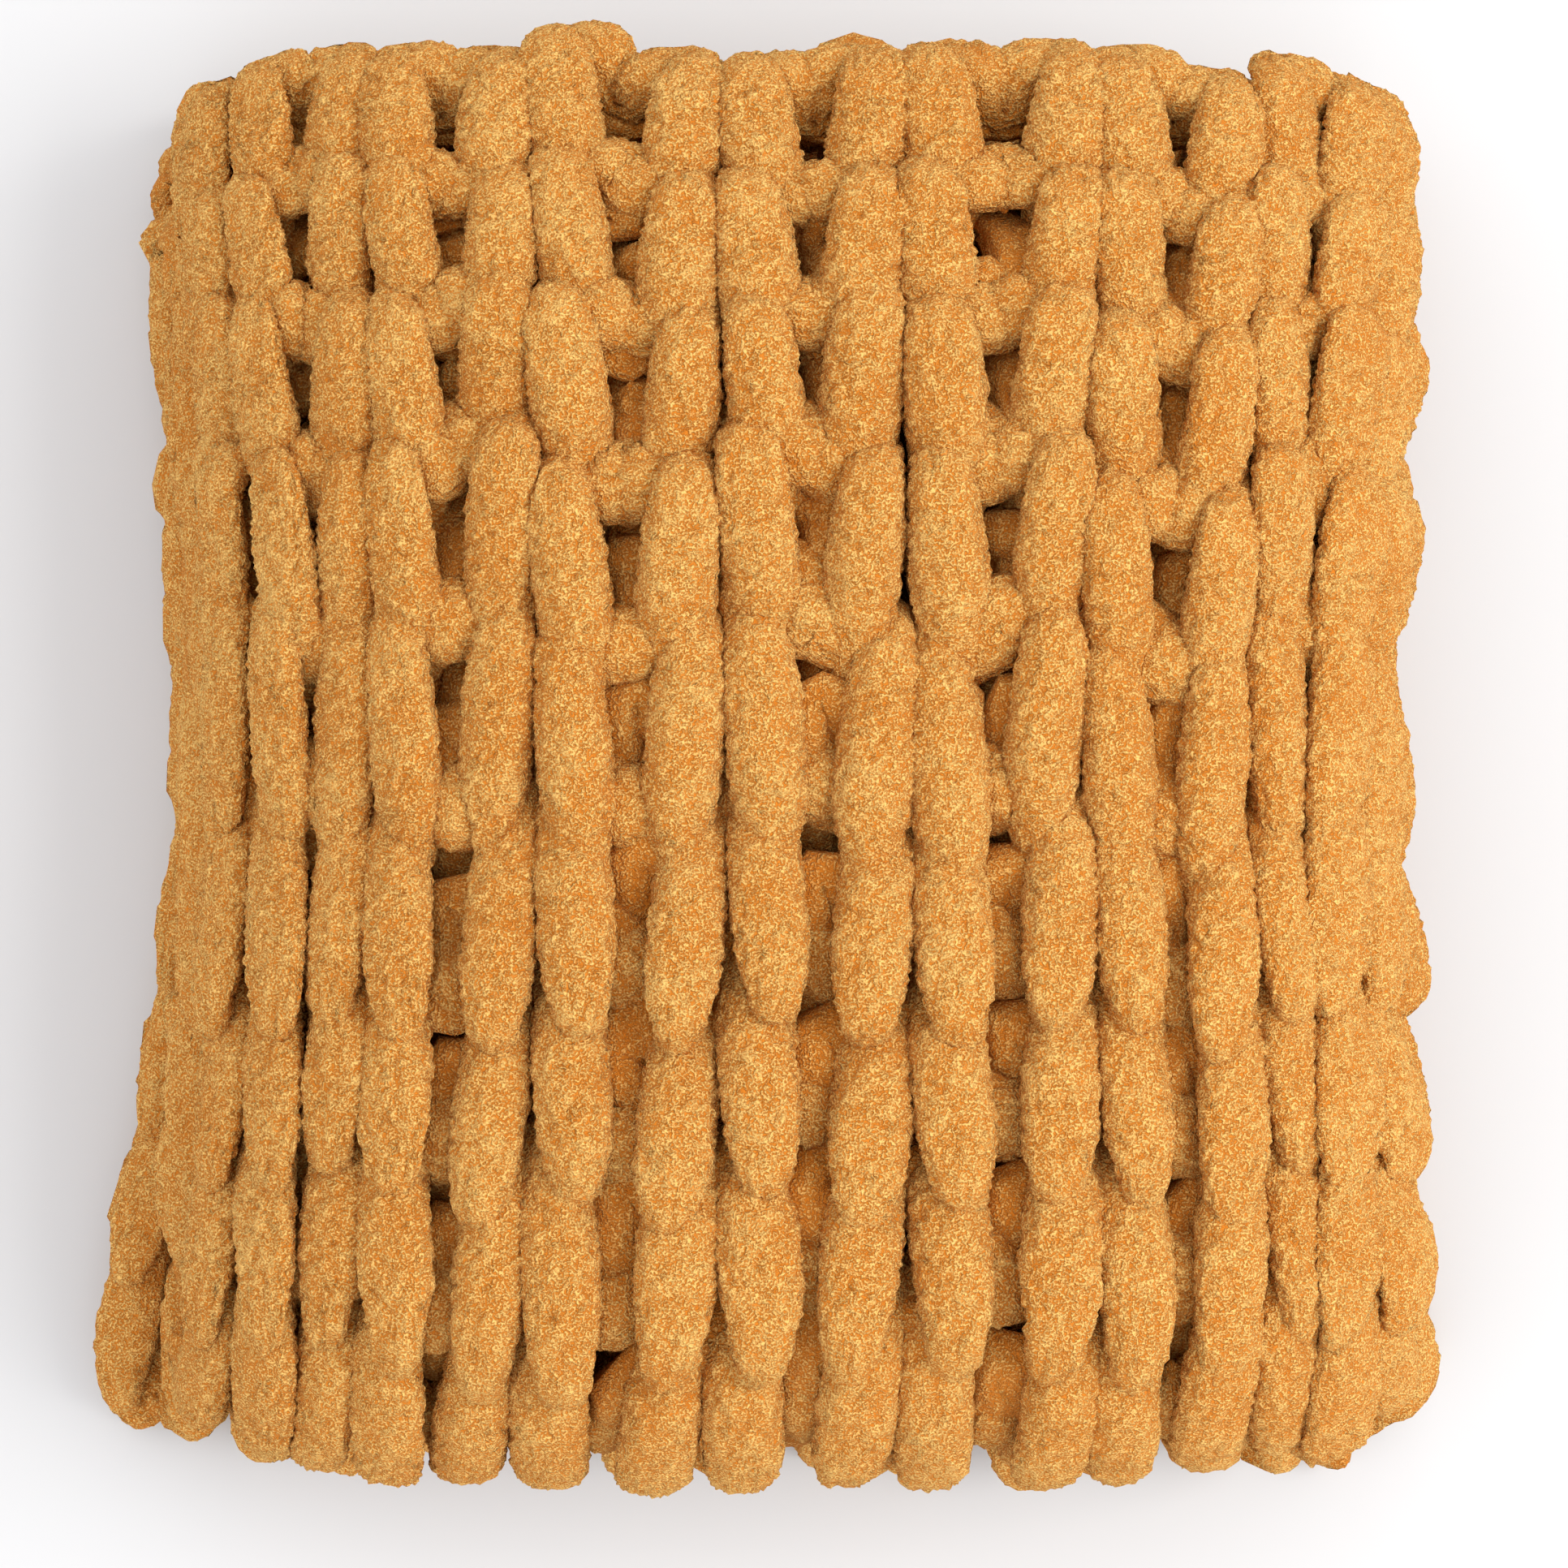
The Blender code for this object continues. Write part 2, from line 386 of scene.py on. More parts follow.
def from_middle(wale):
    """Columns from the middle of the strip to these column places, less towards the selvedges."""
    return WALES_PER_PLY / 2 - np.maximum(np.abs(wale - WALES_PER_PLY), SIDE_FOLD_WALES)


def across(wale, half_width):
    """The strip's cross-section at these column places.

    It gives x, the height over the mid-plane, and the way that the ply faces (x, height).
    """
    side = np.where(wale <= WALES_PER_PLY, 1.0, -1.0)
    middle = from_middle(wale)
    stretch = half_width / NOMINAL_HALF_WIDTH
    x = (WALE_SPREAD * middle - WALE_CROWDING * middle**3) * stretch
    angle = np.clip(np.abs(wale - WALES_PER_PLY) / SIDE_FOLD_WALES, 0, 1) * math.pi / 2
    out_x, out_n = np.cos(angle), np.sin(angle) * side
    return x + PLY_OFFSET * out_x, PLY_OFFSET * out_n, out_x, out_n


def openness(wale):
    """How wide a column lies here, as a share of its width in the middle of the pile."""
    return 1 - 3 * WALE_CROWDING * from_middle(wale) ** 2 / WALE_SPREAD


def under_ply(wale, place):
    """How much a point belongs to the middle of a bottom ply, from 0 to 1."""
    beyond = np.clip((wale - WALES_PER_PLY) / WALES_PER_PLY, 0, 1)
    ends = np.clip(np.minimum(place - 0.5, COURSES - 0.5 - place) / UNDER_PLY_ENDS, 0, 1)
    return np.sin(beyond * math.pi) ** UNDER_PLY_BREADTH * ends


def press(rise, place):
    """Presses strands flatter the further they stand from the strip's mid-plane."""
    soft_from = SOFT_FROM + FREE_SIDE * np.clip(place - FRONT_BEND, 0, 1) * (rise > 0)
    over = np.maximum(np.abs(rise) - soft_from, 0)
    return np.sign(rise) * (np.minimum(np.abs(rise), soft_from) + over / (1 + over / SOFT_REACH))


def settle(points, half_width):
    """Lets the pile sink: it stays high in the middle, and lies low along the sides and at the ends."""
    x, y, z = points.T
    edge = np.clip(np.abs(x) / half_width, 0, CROWN_MOST)
    end = np.abs(y) / END_REACH
    drop = np.where(y > 0, BACK_DROP, FRONT_DROP)
    height = CROWN_LIFT - CROWN_DROP * edge**CROWN_POWER
    height = height * (1 - drop * np.clip(end, 0, END_MOST) ** 4)
    y = y - CORNER_ROUNDING * edge**4 * np.clip(end, 0, 1) ** 3 * np.sign(y)
    return np.stack([x, y, z * height], axis=1)


def lay(across_m, along_m, out_m):
    """Points of the flat knit, in metres across, along and out of the fabric, laid into the folded pile."""
    wale = across_m / WALE_PITCH
    place = along_m / COURSE_PITCH
    half_width = np.interp(place, np.arange(COURSES) + 0.5, HALF_WIDTHS)
    shift = np.interp(
        place,
        [LOWER_BEND, MIDDLE_START, FRONT_BEND, TOP_START],
        [LAYER_SHIFT["lower"], LAYER_SHIFT["middle"], LAYER_SHIFT["middle"], LAYER_SHIFT["top"]],
    )
    under = under_ply(wale, place)
    half_width = half_width + FRONT_FLARE * np.clip(1 - place / FLARE_COURSES, 0, 1)
    x, height, out_x, out_n = across(wale, half_width)
    x = x + UNDER_PLY_SHIFT * under
    place = place + UNDER_PLY_SKEW * under
    y, z, ny, nz, bending = strip_line(place, height)
    inner = np.maximum(UNDER_PLY_FROM - out_m, 0)
    swollen = UNDER_PLY_MOST * (1 - np.exp(-inner * UNDER_PLY_SWELL / UNDER_PLY_MOST))
    rise = height + out_m * out_n + (swollen - inner) * np.clip(2 * under, 0, 1) + UNDER_PLY_LIFT * under
    rise = press(rise, place)
    rise = np.where((bending != 0) & (rise * bending > INNER_LIMIT), INNER_LIMIT * bending, rise)
    points = np.stack([x + out_m * out_x, y + rise * ny, z + rise * nz], axis=1)
    points = settle(points, half_width)
    points[:, 0] += shift
    return points


# ---------------------------------------------------------------- the path of the yarn

def wander(wale, place, how_far, wale_rate, course_rate, seed):
    """How far the knit has been pulled here, in millimetres. It changes smoothly over the flat knit."""
    at = np.array([[wale * wale_rate + 0.3, place * course_rate, 0.5]])
    return float(soft_noise(at, 1.0, seed)[0]) * how_far


def tilt(place, rng):
    """Which end of a leg lies on top.

    From 1, where it is the end towards later courses, to -1, where it is the other end.
    """
    y, _, _, nz, bending = strip_line(np.array([place + 0.5]), np.array([0.0]))
    facing = 1.0 if bending[0] < 0 else nz[0]
    return float(np.clip(y[0] / (TILT_REACH * MM) * facing, -1, 1)) + rng.normal(0, TILT_WANDER)


def path_point(wale, place, out, half_w, half_d):
    """A point of a path in metres, from columns, courses and millimetres."""
    return wale * WALE_PITCH, place * COURSE_PITCH, out * MM, half_w * MM, half_d * MM


def loop_points(wale, place, rng):
    """One loop's points, from the bar on its left to the last point before the bar on its right."""
    lean = rng.normal(0, LOOP_LEAN) + wander(wale + 0.5, place, *COLUMN_SWAY)
    swell = 1 + rng.normal(0, LOOP_SWELL)
    ends = tilt(place, rng) * END_TILT
    closed_up = 1 - float(openness(np.array([wale + 0.5]))[0])
    towards_side = math.copysign(1, wale + 0.5 - WALES_PER_PLY / 2)
    if wale in (WALES_PER_PLY - 1, WALES_PER_PLY):
        lean += math.copysign(FOLD_CLOSING, wale - WALES_PER_PLY + 0.5)
    points = []
    for side in (-1, 1):
        order = LOOP_SIDE[::-1] if side < 0 else LOOP_SIDE[1:]
        drift = wander(wale + 0.5 + side * LEG_FROM_MIDDLE, place, *COLUMN_DRIFT)
        leg = rng.normal(0, LEG_WANDER)
        if wale in (0, WALES - 1):
            at_selvedge = (side < 0) == (wale == 0)
            leg[0] += side * (SELVEDGE_SPREAD if at_selvedge else SELVEDGE_SPREAD / 2)
            leg[0] += rng.normal(0, SELVEDGE_WANDER)
        lap = -side * towards_side * closed_up * SIDE_LAP if wale < WALES_PER_PLY else 0.0
        for beside, along, out, half_w, half_d in order:
            front = max(0.0, min(1.0, (out - FRONT_FROM) / FRONT_OVER))
            out += (ends * along + lap + leg[2]) * front
            x, y, *rest = path_point(wale + 0.5, place + 0.5 + along, out, half_w * swell, half_d * swell)
            x += (side * beside + lean + leg[0] * front) * MM
            y += (drift + leg[1] * front) * MM
            points.append((x, y, *rest))
    return points


def bar_point(wale, place, rng):
    """The middle of the bar that joins two loops of a course."""
    level, *size = FREE_END_BAR if place == COURSES - 1 else BAR
    x, y, *rest = path_point(wale, place + 0.5 + level, *size)
    x += wander(wale, place, *COLUMN_SWAY) * MM
    y += (wander(wale, place, *COLUMN_DRIFT) + rng.normal(0, BAR_WANDER)) * MM
    return x, y, *rest


def course_path(place, rng):
    """The yarn of one course, from selvedge to selvedge. Its ends turn up behind the course before it."""
    turn_up = 0.0 if place == COURSES - 1 else TURN_UP
    ends = [(inwards, place + 0.5 + rise + share * turn_up) for inwards, rise, share in YARN_END]
    points = [path_point(inwards, level, *YARN_END_SIZE) for inwards, level in ends]
    for wale in range(WALES):
        points += loop_points(wale, place, rng)
        if wale < WALES - 1:
            points.append(bar_point(wale + 1, place, rng))
    points += [path_point(WALES - inwards, level, *YARN_END_SIZE) for inwards, level in reversed(ends)]
    return np.array(points)


def edge_path(place, rng, swing):
    """The chained edge: a strand that arches over the end of each column and dips behind between them."""
    points = []
    for wale in range(WALES):
        for onwards, arch, *size in EDGE_ARCH:
            x, y, *rest = path_point(wale + onwards, place + swing * arch, *size)
            x += rng.normal(0, EDGE_WANDER) * MM
            y += rng.normal(0, EDGE_WANDER) * MM
            points.append((x, y, *rest))
    inwards, *size = EDGE_END
    points.append(path_point(WALES - inwards, place, *size))
    return np.array(points)


def smooth_line(points, per_span=14):
    """A Catmull-Rom curve through the points, with the other columns carried along."""
    padded = np.vstack([2 * points[0] - points[1], points, 2 * points[-1] - points[-2]])
    t = np.linspace(0, 1, per_span, endpoint=False)[:, None]
    spans = []
    for i in range(1, len(padded) - 2):
        a, b, c, d = padded[i - 1 : i + 3]
        square = 2 * a - 5 * b + 4 * c - d
        cube = 3 * b - 3 * c + d - a
        spans.append(0.5 * (2 * b + (c - a) * t + square * t**2 + cube * t**3))
    return np.vstack(spans + [padded[-2:-1]])


def rings_along(line, spacing):
    """The curve's points at a spacing that changes along it."""
    steps = np.linalg.norm(np.diff(line[:, :3], axis=0), axis=1)
    rate = steps / ((spacing[1:] + spacing[:-1]) / 2)
    along = np.concatenate([[0], np.cumsum(rate)])
    count = max(8, int(along[-1]))
    at = np.linspace(0, along[-1], count)
    return np.stack([np.interp(at, along, line[:, k]) for k in range(line.shape[1])], axis=1)


# ---------------------------------------------------------------- the tube of yarn

def ring_angles(outer, inner):
    """Angles round the yarn, closer together on the side that faces out of the fabric."""
    front = np.linspace(-FRONT_ARC, FRONT_ARC, outer, endpoint=False)
    back = np.linspace(FRONT_ARC, 2 * math.pi - FRONT_ARC, inner, endpoint=False)
    return np.concatenate([front, back])


def tube(line, angles):
    """Points and faces of a closed yarn tube, in the flat knit's own metres."""
    centre = line[:, :3]
    ahead = np.gradient(centre, axis=0)
    ahead /= np.linalg.norm(ahead, axis=1)[:, None]
    sideways = np.stack([ahead[:, 1], -ahead[:, 0], np.zeros(len(ahead))], axis=1)
    sideways /= np.linalg.norm(sideways, axis=1)[:, None]
    outwards = np.cross(sideways, ahead)
    steps = np.concatenate([[0], np.cumsum(np.linalg.norm(np.diff(centre, axis=0), axis=1))])
    from_end = np.minimum(steps, steps[-1] - steps)
    cap = np.sqrt(np.clip(1 - (1 - np.clip(from_end / END_ROUNDING, 0, 1)) ** 2, END_LEAST, 1))
    half_w, half_d = line[:, 3] * cap, line[:, 4] * cap
    ring = (
        centre[:, None, :]
        + np.sin(angles)[None, :, None] * half_w[:, None, None] * sideways[:, None, :]
        + np.cos(angles)[None, :, None] * half_d[:, None, None] * outwards[:, None, :]
    )
    rings, around = ring.shape[:2]
    points = ring.reshape(-1, 3)
    first, last = len(points), len(points) + 1
    points = np.vstack([points, centre[0], centre[-1]])
    i, j = np.meshgrid(np.arange(rings - 1), np.arange(around), indexing="ij")
    k = (j + 1) % around
    quads = np.stack([i * around + j, i * around + k, (i + 1) * around + k, (i + 1) * around + j], axis=-1)
    j = np.arange(around)
    k = (j + 1) % around
    start_cap = np.stack([np.full(around, first), k, j], axis=1)
    end = (rings - 1) * around
    end_cap = np.stack([np.full(around, last), end + j, end + k], axis=1)
    return points, quads.reshape(-1, 4), np.vstack([start_cap, end_cap])


def face_normals(points, faces):
    """Each face's normal, as long as twice its area."""
    corners = [points[faces[:, k]] for k in range(faces.shape[1])]
    if len(corners) == 4:
        return np.cross(corners[2] - corners[0], corners[3] - corners[1])
    return np.cross(corners[1] - corners[0], corners[2] - corners[0])


def point_normals(points, quads, triangles):
    normals = np.zeros_like(points)
    for faces in (quads, triangles):
        of_faces = face_normals(points, faces)
        for corner in range(faces.shape[1]):
            np.add.at(normals, faces[:, corner], of_faces)
    length = np.linalg.norm(normals, axis=1)
    return normals / np.maximum(length, 1e-12)[:, None]


def signed_volume(points, quads, triangles):
    """The volume inside the faces, or less than 0 where they face inwards."""
    both = np.vstack([quads[:, [0, 1, 2]], quads[:, [0, 2, 3]], triangles])
    a, b, c = (points[both[:, k]] for k in range(3))
    return float((a * np.cross(b, c)).sum() / 6)


def name_seed(name):
    """A number of the piece's own, so that no two pieces have the same nap."""
    return sum(ord(letter) * (i + 1) for i, letter in enumerate(name))


def pile_lift(points, seed):
    """How far the cut pile stands out at each point, from about -1 to 1."""
    lift = np.zeros(len(points))
    for share, cell, noise_seed in PILE_NOISES:
        lift += soft_noise(points, cell, noise_seed) * share
    nap = lattice(np.arange(len(points)), seed, 7, 1) * 2 - 1
    return lift + nap * NAP_SHARE


def yarn_object(name, points, quads, triangles, tips):
    """A smooth mesh object. Its attribute pile_tone_and_crease_shade is 0 down in the pile and 1 at the
    tips, and it is lowered where the strand lies low in the fabric: painted shade in the creases.
    """
    corners = np.concatenate([quads.reshape(-1), triangles.reshape(-1)]).astype(np.int32)
    starts = np.concatenate([np.arange(len(quads)) * 4, len(quads) * 4 + np.arange(len(triangles)) * 3])
    mesh = bpy.data.meshes.new(name)
    mesh.vertices.add(len(points))
    mesh.vertices.foreach_set("co", points.astype(np.float32).reshape(-1))
    mesh.loops.add(len(corners))
    mesh.loops.foreach_set("vertex_index", corners)
    mesh.polygons.add(len(starts))
    mesh.polygons.foreach_set("loop_start", starts.astype(np.int32))
    mesh.update(calc_edges=True)
    mesh.validate()
    mesh.shade_smooth()
    pile_tone_and_crease_shade = mesh.attributes.new("pile_tone_and_crease_shade", "FLOAT", "POINT")
    pile_tone_and_crease_shade.data.foreach_set("value", tips.astype(np.float32))
    obj = bpy.data.objects.new(name, mesh)
    bpy.context.scene.collection.objects.link(obj)
    return obj


def knit_piece(name, path, spacing_of, corners):
    """One run of yarn laid into the pile: its object, and each point's course place and ply height."""
    line = smooth_line(path)
    line = rings_along(line, spacing_of(line))
    line[:, 3] /= openness(line[:, 0] / WALE_PITCH) ** YARN_FIRMNESS
    flat, quads, triangles = tube(line, ring_angles(*corners))
    points = lay(flat[:, 0], flat[:, 1], flat[:, 2])
    if signed_volume(points, quads, triangles) < 0:
        quads, triangles = quads[:, ::-1].copy(), triangles[:, ::-1].copy()
    lift = pile_lift(points, name_seed(name))
    relief = lift * bpy.context.scene.throw_yarn.pile_relief
    points = points + point_normals(points, quads, triangles) * relief[:, None]
    points[:, 2] = np.maximum(points[:, 2], FLOOR_GAP)
    # Painted shade in the creases: the lower a strand lies in the fabric, the further its tone drops towards
    # the root colour
    crease_shade = np.clip((CREASE_SHADE_FROM - flat[:, 2]) / CREASE_SHADE_DEPTH, 0, 1)
    tips = np.clip(0.5 + 0.5 * lift - CREASE_SHADE_SHARE * crease_shade, 0, 1)
    obj = yarn_object(name, points, quads, triangles, tips)
    wale, place = flat[:, 0] / WALE_PITCH, flat[:, 1] / COURSE_PITCH
    place = place + UNDER_PLY_SKEW * under_ply(wale, place)
    return obj, place, across(wale, NOMINAL_HALF_WIDTH)[1]


# ---------------------------------------------------------------- how a piece rides on the thirds

def fold_weights(places, start, end):
    """A point's share of the turn at a fold, which grows along its own ply. The shares are worked out but
    not returned.
    """
    weights = np.clip((places - start + FOLD_MARGIN) / (end - start + 2 * FOLD_MARGIN), 0, 1)


def attach(obj, places, heights, place):
    """Rides on a third of the strip. A course in an end fold only has its mesh baked in place, and rides on
    no third.
    """
    back_in, back_out, front_in, front_out = bends(heights)
    folds = (
        (BACK_FOLD_COURSES, back_in, back_out, "lower_third", "middle_third", 1),
        (FRONT_FOLD_COURSES, front_in, front_out, "middle_third", "top_third", -1),
    )
    for courses, start, end, before, after, side in folds:
        if place in courses:
            y = side * (FOLD_REACH + HALF_THICKNESS)
            level = STRIP_THICKNESS if side > 0 else 2 * STRIP_THICKNESS
            level - HALF_THICKNESS
            level + HALF_THICKNESS
            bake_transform(obj)
            fold_weights(places, start, end)
            return
    body = "lower_third" if place < LOWER_BEND else "middle_third" if place < FRONT_BEND else "top_third"
    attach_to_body(obj, body)


# ---------------------------------------------------------------- material

class Socket:
    """A node socket that takes part in Python sums."""

    def __init__(self, tree, socket):
        self.tree = tree
        self.socket = socket

    def join(self, other, operation):
        node = self.tree.nodes.new("ShaderNodeMath")
        node.operation = operation
        for slot, value in zip(node.inputs, (self, other)):
            if isinstance(value, Socket):
                self.tree.links.new(value.socket, slot)
            else:
                slot.default_value = value
        return Socket(self.tree, node.outputs[0])

    def __add__(self, other):
        return self.join(other, "ADD")

    __radd__ = __add__

    def __mul__(self, other):
        return self.join(other, "MULTIPLY")

    __rmul__ = __mul__


def node_of(tree, kind, settings=None, output=0, **inputs):
    """Adds any other node: its type, its settings, and the values or links of its sockets.

    A socket goes by its name, or by an underscore and its number where names repeat.
    """
    node = tree.nodes.new(kind)
    for key, value in (settings or {}).items():
        setattr(node, key, value)
    for key, value in inputs.items():
        slot = node.inputs[int(key[1:])] if key[0] == "_" else node.inputs[key]
        if isinstance(value, Socket):
            tree.links.new(value.socket, slot)
        else:
            slot.default_value = value
    return Socket(tree, node.outputs[output])


def noise(tree, place, scale, detail, roughness):
    return node_of(tree, "ShaderNodeTexNoise", Vector=place, Scale=scale, Detail=detail, Roughness=roughness)


def ramp_between(tree, factor, low, high):
    """A smooth step of a value from low to high."""
    settings = {"interpolation_type": "SMOOTHSTEP"}
    return node_of(tree, "ShaderNodeMapRange", settings, _0=factor, _1=low, _2=high)


def mixed(tree, factor, first, second):
    return node_of(tree, "ShaderNodeMix", {"data_type": "RGBA"}, output=2, _0=factor, _6=first, _7=second)


def chenille_material():
    """Cut-pile chenille: deep orange-brown down in the pile, pale gold at the tips, with soft clumps. The
    deep colour also paints the shade in the creases between strands.
    """
    yarn = bpy.context.scene.throw_yarn
    material = bpy.data.materials.new(YARN_MATERIAL)
    material.use_nodes = True
    tree = material.node_tree
    shader = tree.nodes["Principled BSDF"]
    place = node_of(tree, "ShaderNodeTexCoord", output=3)
    # The pile's tone, lowered by the painted shade in the creases
    height = node_of(tree, "ShaderNodeAttribute", {"attribute_name": "pile_tone_and_crease_shade"}, output=2)
    tufts = noise(tree, place, *TUFT_NOISE)
    clumps = noise(tree, place, *CLUMP_NOISE)
    patches = noise(tree, place, *PATCH_NOISE)
    tufts = ramp_between(tree, tufts, *TUFT_EDGES)
    clumps = ramp_between(tree, clumps, *CLUMP_EDGES)
    nap = (
        height * TONE_SHARES["height"]
        + tufts * TONE_SHARES["tufts"]
        + clumps * TONE_SHARES["clumps"]
        + patches * TONE_SHARES["patches"]
    )
    tone = ramp_between(tree, nap, *TONE_EDGES)
    colour = mixed(tree, tone, tuple(yarn.root_colour), tuple(yarn.tip_colour))
    tree.links.new(colour.socket, shader.inputs["Base Color"])
    relief = tufts * BUMP_SHARES["tufts"] + clumps * BUMP_SHARES["clumps"]
    bump = node_of(tree, "ShaderNodeBump", Strength=yarn.bump_strength, Distance=BUMP_DEPTH, Height=relief)
    tree.links.new(bump.socket, shader.inputs["Normal"])
    for name, value in YARN_SURFACE.items():
        shader.inputs[name].default_value = value
    return material


def stage_material(name, colour, roughness):
    material = bpy.data.materials.new(name)
    material.use_nodes = True
    shader = material.node_tree.nodes["Principled BSDF"]
    shader.inputs["Base Color"].default_value = colour
    shader.inputs["Roughness"].default_value = roughness
    return material


# ---------------------------------------------------------------- settings

class ThrowYarn(bpy.types.PropertyGroup):
    """The chenille yarn."""

    # The root colour is also the painted shade in the creases between strands
    root_colour: bpy.props.FloatVectorProperty(
        name="Root colour", description="Down in the pile", subtype="COLOR", size=4, min=0, max=1,
        default=(0.57, 0.176, 0.017, 1.0),
    )
    tip_colour: bpy.props.FloatVectorProperty(
        name="Tip colour", description="At the tips of the pile", subtype="COLOR", size=4, min=0, max=1,
        default=(0.80, 0.466, 0.136, 1.0),
    )
    pile_relief: bpy.props.FloatProperty(
        name="Pile relief", description="How far the clumps of the pile stand out", unit="LENGTH",
        default=0.0019, min=0, max=0.004,
    )
    bump_strength: bpy.props.FloatProperty(
        name="Bump strength", description="Fine relief of the pile", default=1.0, min=0, max=1,
    )
    show_spacing: bpy.props.FloatProperty(
        name="Ring spacing, showing", description="Between two rings of a strand that shows", unit="LENGTH",
        default=0.00135, min=0.0005, max=0.01,
    )
    hidden_spacing: bpy.props.FloatProperty(
        name="Ring spacing, hidden", description="Between two rings of a strand inside the pile",
        unit="LENGTH", default=0.0065, min=0.001, max=0.02,
    )


class ThrowStage(bpy.types.PropertyGroup):
    """The floor, the light and the camera."""

    camera_height: bpy.props.FloatProperty(
        name="Camera height", description="Straight above the pile, over the floor", unit="LENGTH",
        default=1.05,
    )
    view_width: bpy.props.FloatProperty(
        name="View width", description="What the camera sees across the top of the pile", unit="LENGTH",
        default=0.4275,
    )
    view_centre: bpy.props.FloatVectorProperty(
        name="View centre", description="The point under the camera", size=2, unit="LENGTH",
        default=(-0.001, -0.011),
    )
    floor_colour: bpy.props.FloatVectorProperty(
        name="Floor colour", description="A plain pale floor", subtype="COLOR", size=4, min=0, max=1,
        default=(0.59, 0.59, 0.59, 1.0),
    )


# ---------------------------------------------------------------- pieces

def coarseness():
    return 1.0


def ring_spacing(line, place):
    """The distance between the rings of a course: short where it shows, and long where it is hidden."""
    yarn = bpy.context.scene.throw_yarn
    wale = line[:, 0] / WALE_PITCH
    showing = np.clip((line[:, 2] / MM - SHOWS_FROM) / SHOWS_OVER, 0, 1)
    from_fold = np.abs(wale - WALES_PER_PLY)
    side_fold = np.clip(1 - (from_fold - SIDE_FOLD_SHOWS) / SIDE_FOLD_FADE, 0, 1)
    selvedge = np.clip((SELVEDGE_SHOWS - np.minimum(wale, WALES - wale)) / SELVEDGE_FADE, 0, 1)
    fineness = SIDE_FINENESS * np.maximum(side_fold, selvedge)
    if place >= TOP_START - 1:
        upper_ply = np.clip((WALES_PER_PLY + UPPER_PLY_SHOWS - wale) / UPPER_PLY_FADE, 0, 1)
        fineness = np.maximum(upper_ply * np.maximum(showing, HIDDEN_TOP_FINENESS), fineness)
    elif place in (0, LOWER_BEND, LOWER_BEND + 1, FRONT_BEND):
        fineness = np.maximum(END_FOLD_FINENESS * showing, fineness)
    return (yarn.hidden_spacing + (yarn.show_spacing - yarn.hidden_spacing) * fineness) * coarseness()


def finish_yarn(obj):
    material = bpy.data.materials.get(YARN_MATERIAL) or chenille_material()
    obj.data.materials.append(material)


def knit_course(place):
    """One course, counted from the bottom of the pile."""
    rng = np.random.default_rng(COURSE_SEED + place)
    corners = TOP_CORNERS if place >= TOP_START - 1 else OTHER_CORNERS
    name = f"yarn_course_{COURSES - place:02d}"
    path = course_path(place, rng)
    obj, places, heights = knit_piece(name, path, lambda line: ring_spacing(line, place), corners)
    finish_yarn(obj)
    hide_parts(course_node(place))
    attach(obj, places, heights, place)


def knit_edge(name, node, place, swing, body):
    """The edge that closes one free end. It arches towards later courses where swing is 1."""
    rng = np.random.default_rng(EDGE_SEED + int(place))
    spacing = bpy.context.scene.throw_yarn.show_spacing * EDGE_COARSENESS * coarseness()
    path = edge_path(place, rng, swing)
    obj, _, _ = knit_piece(name, path, lambda line: np.full(len(line), spacing), EDGE_CORNERS)
    finish_yarn(obj)
    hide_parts(node)
    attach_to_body(obj, body)


# ---------------------------------------------------------------- operators

class THROW_OT_lower_third(bpy.types.Operator):
    """Knits the courses of the third that lies on the floor, with the first half of the back fold"""

    bl_idname = "throw.lower_third"
    bl_label = "Lower third"

    def execute(self, context):
        for place in range(0, LOWER_BEND + 1):
            knit_course(place)
        return {"FINISHED"}


class THROW_OT_middle_third(bpy.types.Operator):
    """Knits the courses of the middle third, between the back fold and the front fold"""

    bl_idname = "throw.middle_third"
    bl_label = "Middle third"

    def execute(self, context):
        for place in range(LOWER_BEND + 1, FRONT_BEND + 1):
            knit_course(place)
        return {"FINISHED"}


class THROW_OT_top_third(bpy.types.Operator):
    """Knits the courses of the third that lies on top, with the second half of the front fold"""

    bl_idname = "throw.top_third"
    bl_label = "Top third"

    def execute(self, context):
        for place in range(FRONT_BEND + 1, COURSES):
            knit_course(place)
        return {"FINISHED"}


class THROW_OT_cast_on_edge(bpy.types.Operator):
    """Chains the cast-on edge along the free end on top, at the back"""

    bl_idname = "throw.cast_on_edge"
    bl_label = "Cast-on edge"

    def execute(self, context):
        knit_edge("yarn_cast_on_edge", "cast_on_edge", CAST_ON_PLACE, 1, "top_third")
        return {"FINISHED"}


class THROW_OT_bind_off_edge(bpy.types.Operator):
    """Chains the bind-off edge along the free end underneath, at the front"""

    bl_idname = "throw.bind_off_edge"
    bl_label = "Bind-off edge"

    def execute(self, context):
        knit_edge("yarn_bind_off_edge", "bind_off_edge", BIND_OFF_PLACE, -1, "lower_third")
        return {"FINISHED"}


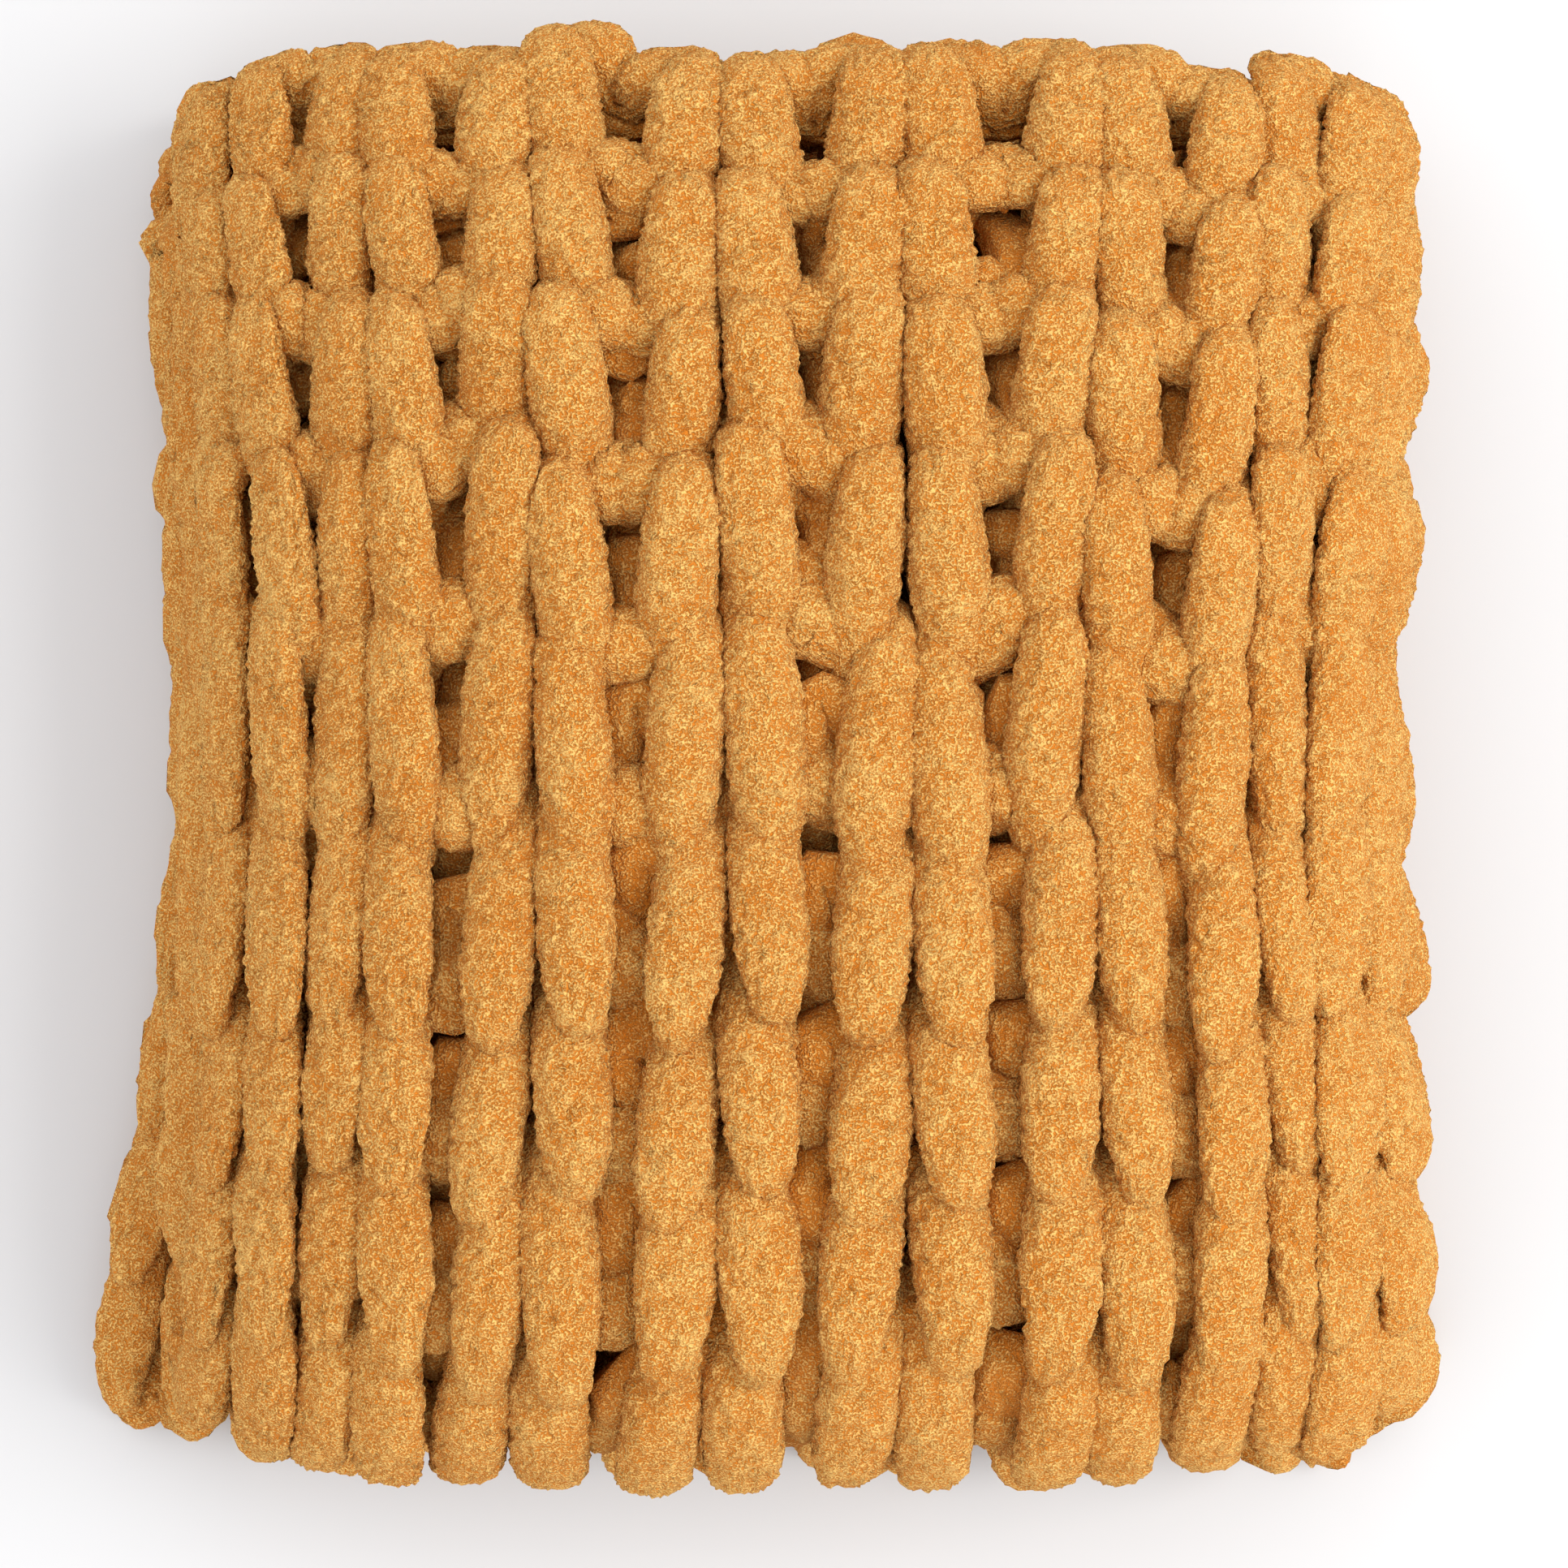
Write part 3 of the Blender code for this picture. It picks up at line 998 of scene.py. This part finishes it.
class THROW_OT_stage(bpy.types.Operator):
    """Sets the pale floor, the soft light and the camera straight above the pile"""

    bl_idname = "throw.stage"
    bl_label = "Stage"

    def execute(self, context):
        stage = context.scene.throw_stage
        bpy.ops.object.select_all(action="DESELECT")
        bpy.ops.mesh.primitive_plane_add(size=FLOOR_SIZE, location=(0, 0, 0))
        floor = context.object
        floor.name = "stage_floor"
        plain = stage_material("stage_floor", tuple(stage.floor_colour), FLOOR_ROUGHNESS)
        floor.data.materials.append(plain)

        bpy.ops.object.light_add(type="AREA", location=KEY_PLACE)
        key = context.object
        key.name = "stage_key"
        key.data.size = KEY_SIZE
        key.data.energy = KEY_POWER
        key.data.color = KEY_COLOUR
        towards_pile = -key.location
        key.rotation_euler = towards_pile.to_track_quat("-Z", "Y").to_euler()

        world = bpy.data.worlds.new("stage_world")
        world.use_nodes = True
        sky = world.node_tree.nodes["Background"]
        sky.inputs["Color"].default_value = SKY_COLOUR
        sky.inputs["Strength"].default_value = SKY_STRENGTH
        context.scene.world = world
        context.scene.view_settings.view_transform = "Standard"

        bpy.ops.object.camera_add(location=(*stage.view_centre, stage.camera_height), rotation=(0, 0, 0))
        camera = context.object
        camera.name = "stage_camera"
        camera.data.sensor_width = SENSOR_WIDTH
        to_top = stage.camera_height - CAD_BOX[1][2]
        camera.data.angle = 2 * math.atan(stage.view_width / 2 / to_top)
        context.scene.camera = camera
        return {"FINISHED"}


class THROW_PT_panel(bpy.types.Panel):
    """Lists the throw's pieces and the stage"""

    bl_label = "Folded throw"
    bl_idname = "THROW_PT_panel"
    bl_space_type = "VIEW_3D"
    bl_region_type = "UI"
    bl_category = "Throw"

    def draw(self, context):
        for operator in OPERATORS:
            self.layout.operator(operator.bl_idname)
        for group in (context.scene.throw_yarn, context.scene.throw_stage):
            for key in group.__annotations__:
                self.layout.prop(group, key)


OPERATORS = (
    THROW_OT_lower_third,
    THROW_OT_middle_third,
    THROW_OT_top_third,
    THROW_OT_cast_on_edge,
    THROW_OT_bind_off_edge,
    THROW_OT_stage,
)
CLASSES = (ThrowYarn, ThrowStage, *OPERATORS, THROW_PT_panel)


def register():
    for cls in CLASSES:
        bpy.utils.register_class(cls)
    bpy.types.Scene.throw_yarn = bpy.props.PointerProperty(type=ThrowYarn)
    bpy.types.Scene.throw_stage = bpy.props.PointerProperty(type=ThrowStage)


def unregister():
    del bpy.types.Scene.throw_stage
    del bpy.types.Scene.throw_yarn
    for cls in reversed(CLASSES):
        bpy.utils.unregister_class(cls)


def main():
    register()
    bpy.ops.throw.lower_third()
    bpy.ops.throw.middle_third()
    bpy.ops.throw.top_third()
    bpy.ops.throw.cast_on_edge()
    bpy.ops.throw.bind_off_edge()
    bpy.ops.throw.stage()


if __name__ == "__main__":
    main()
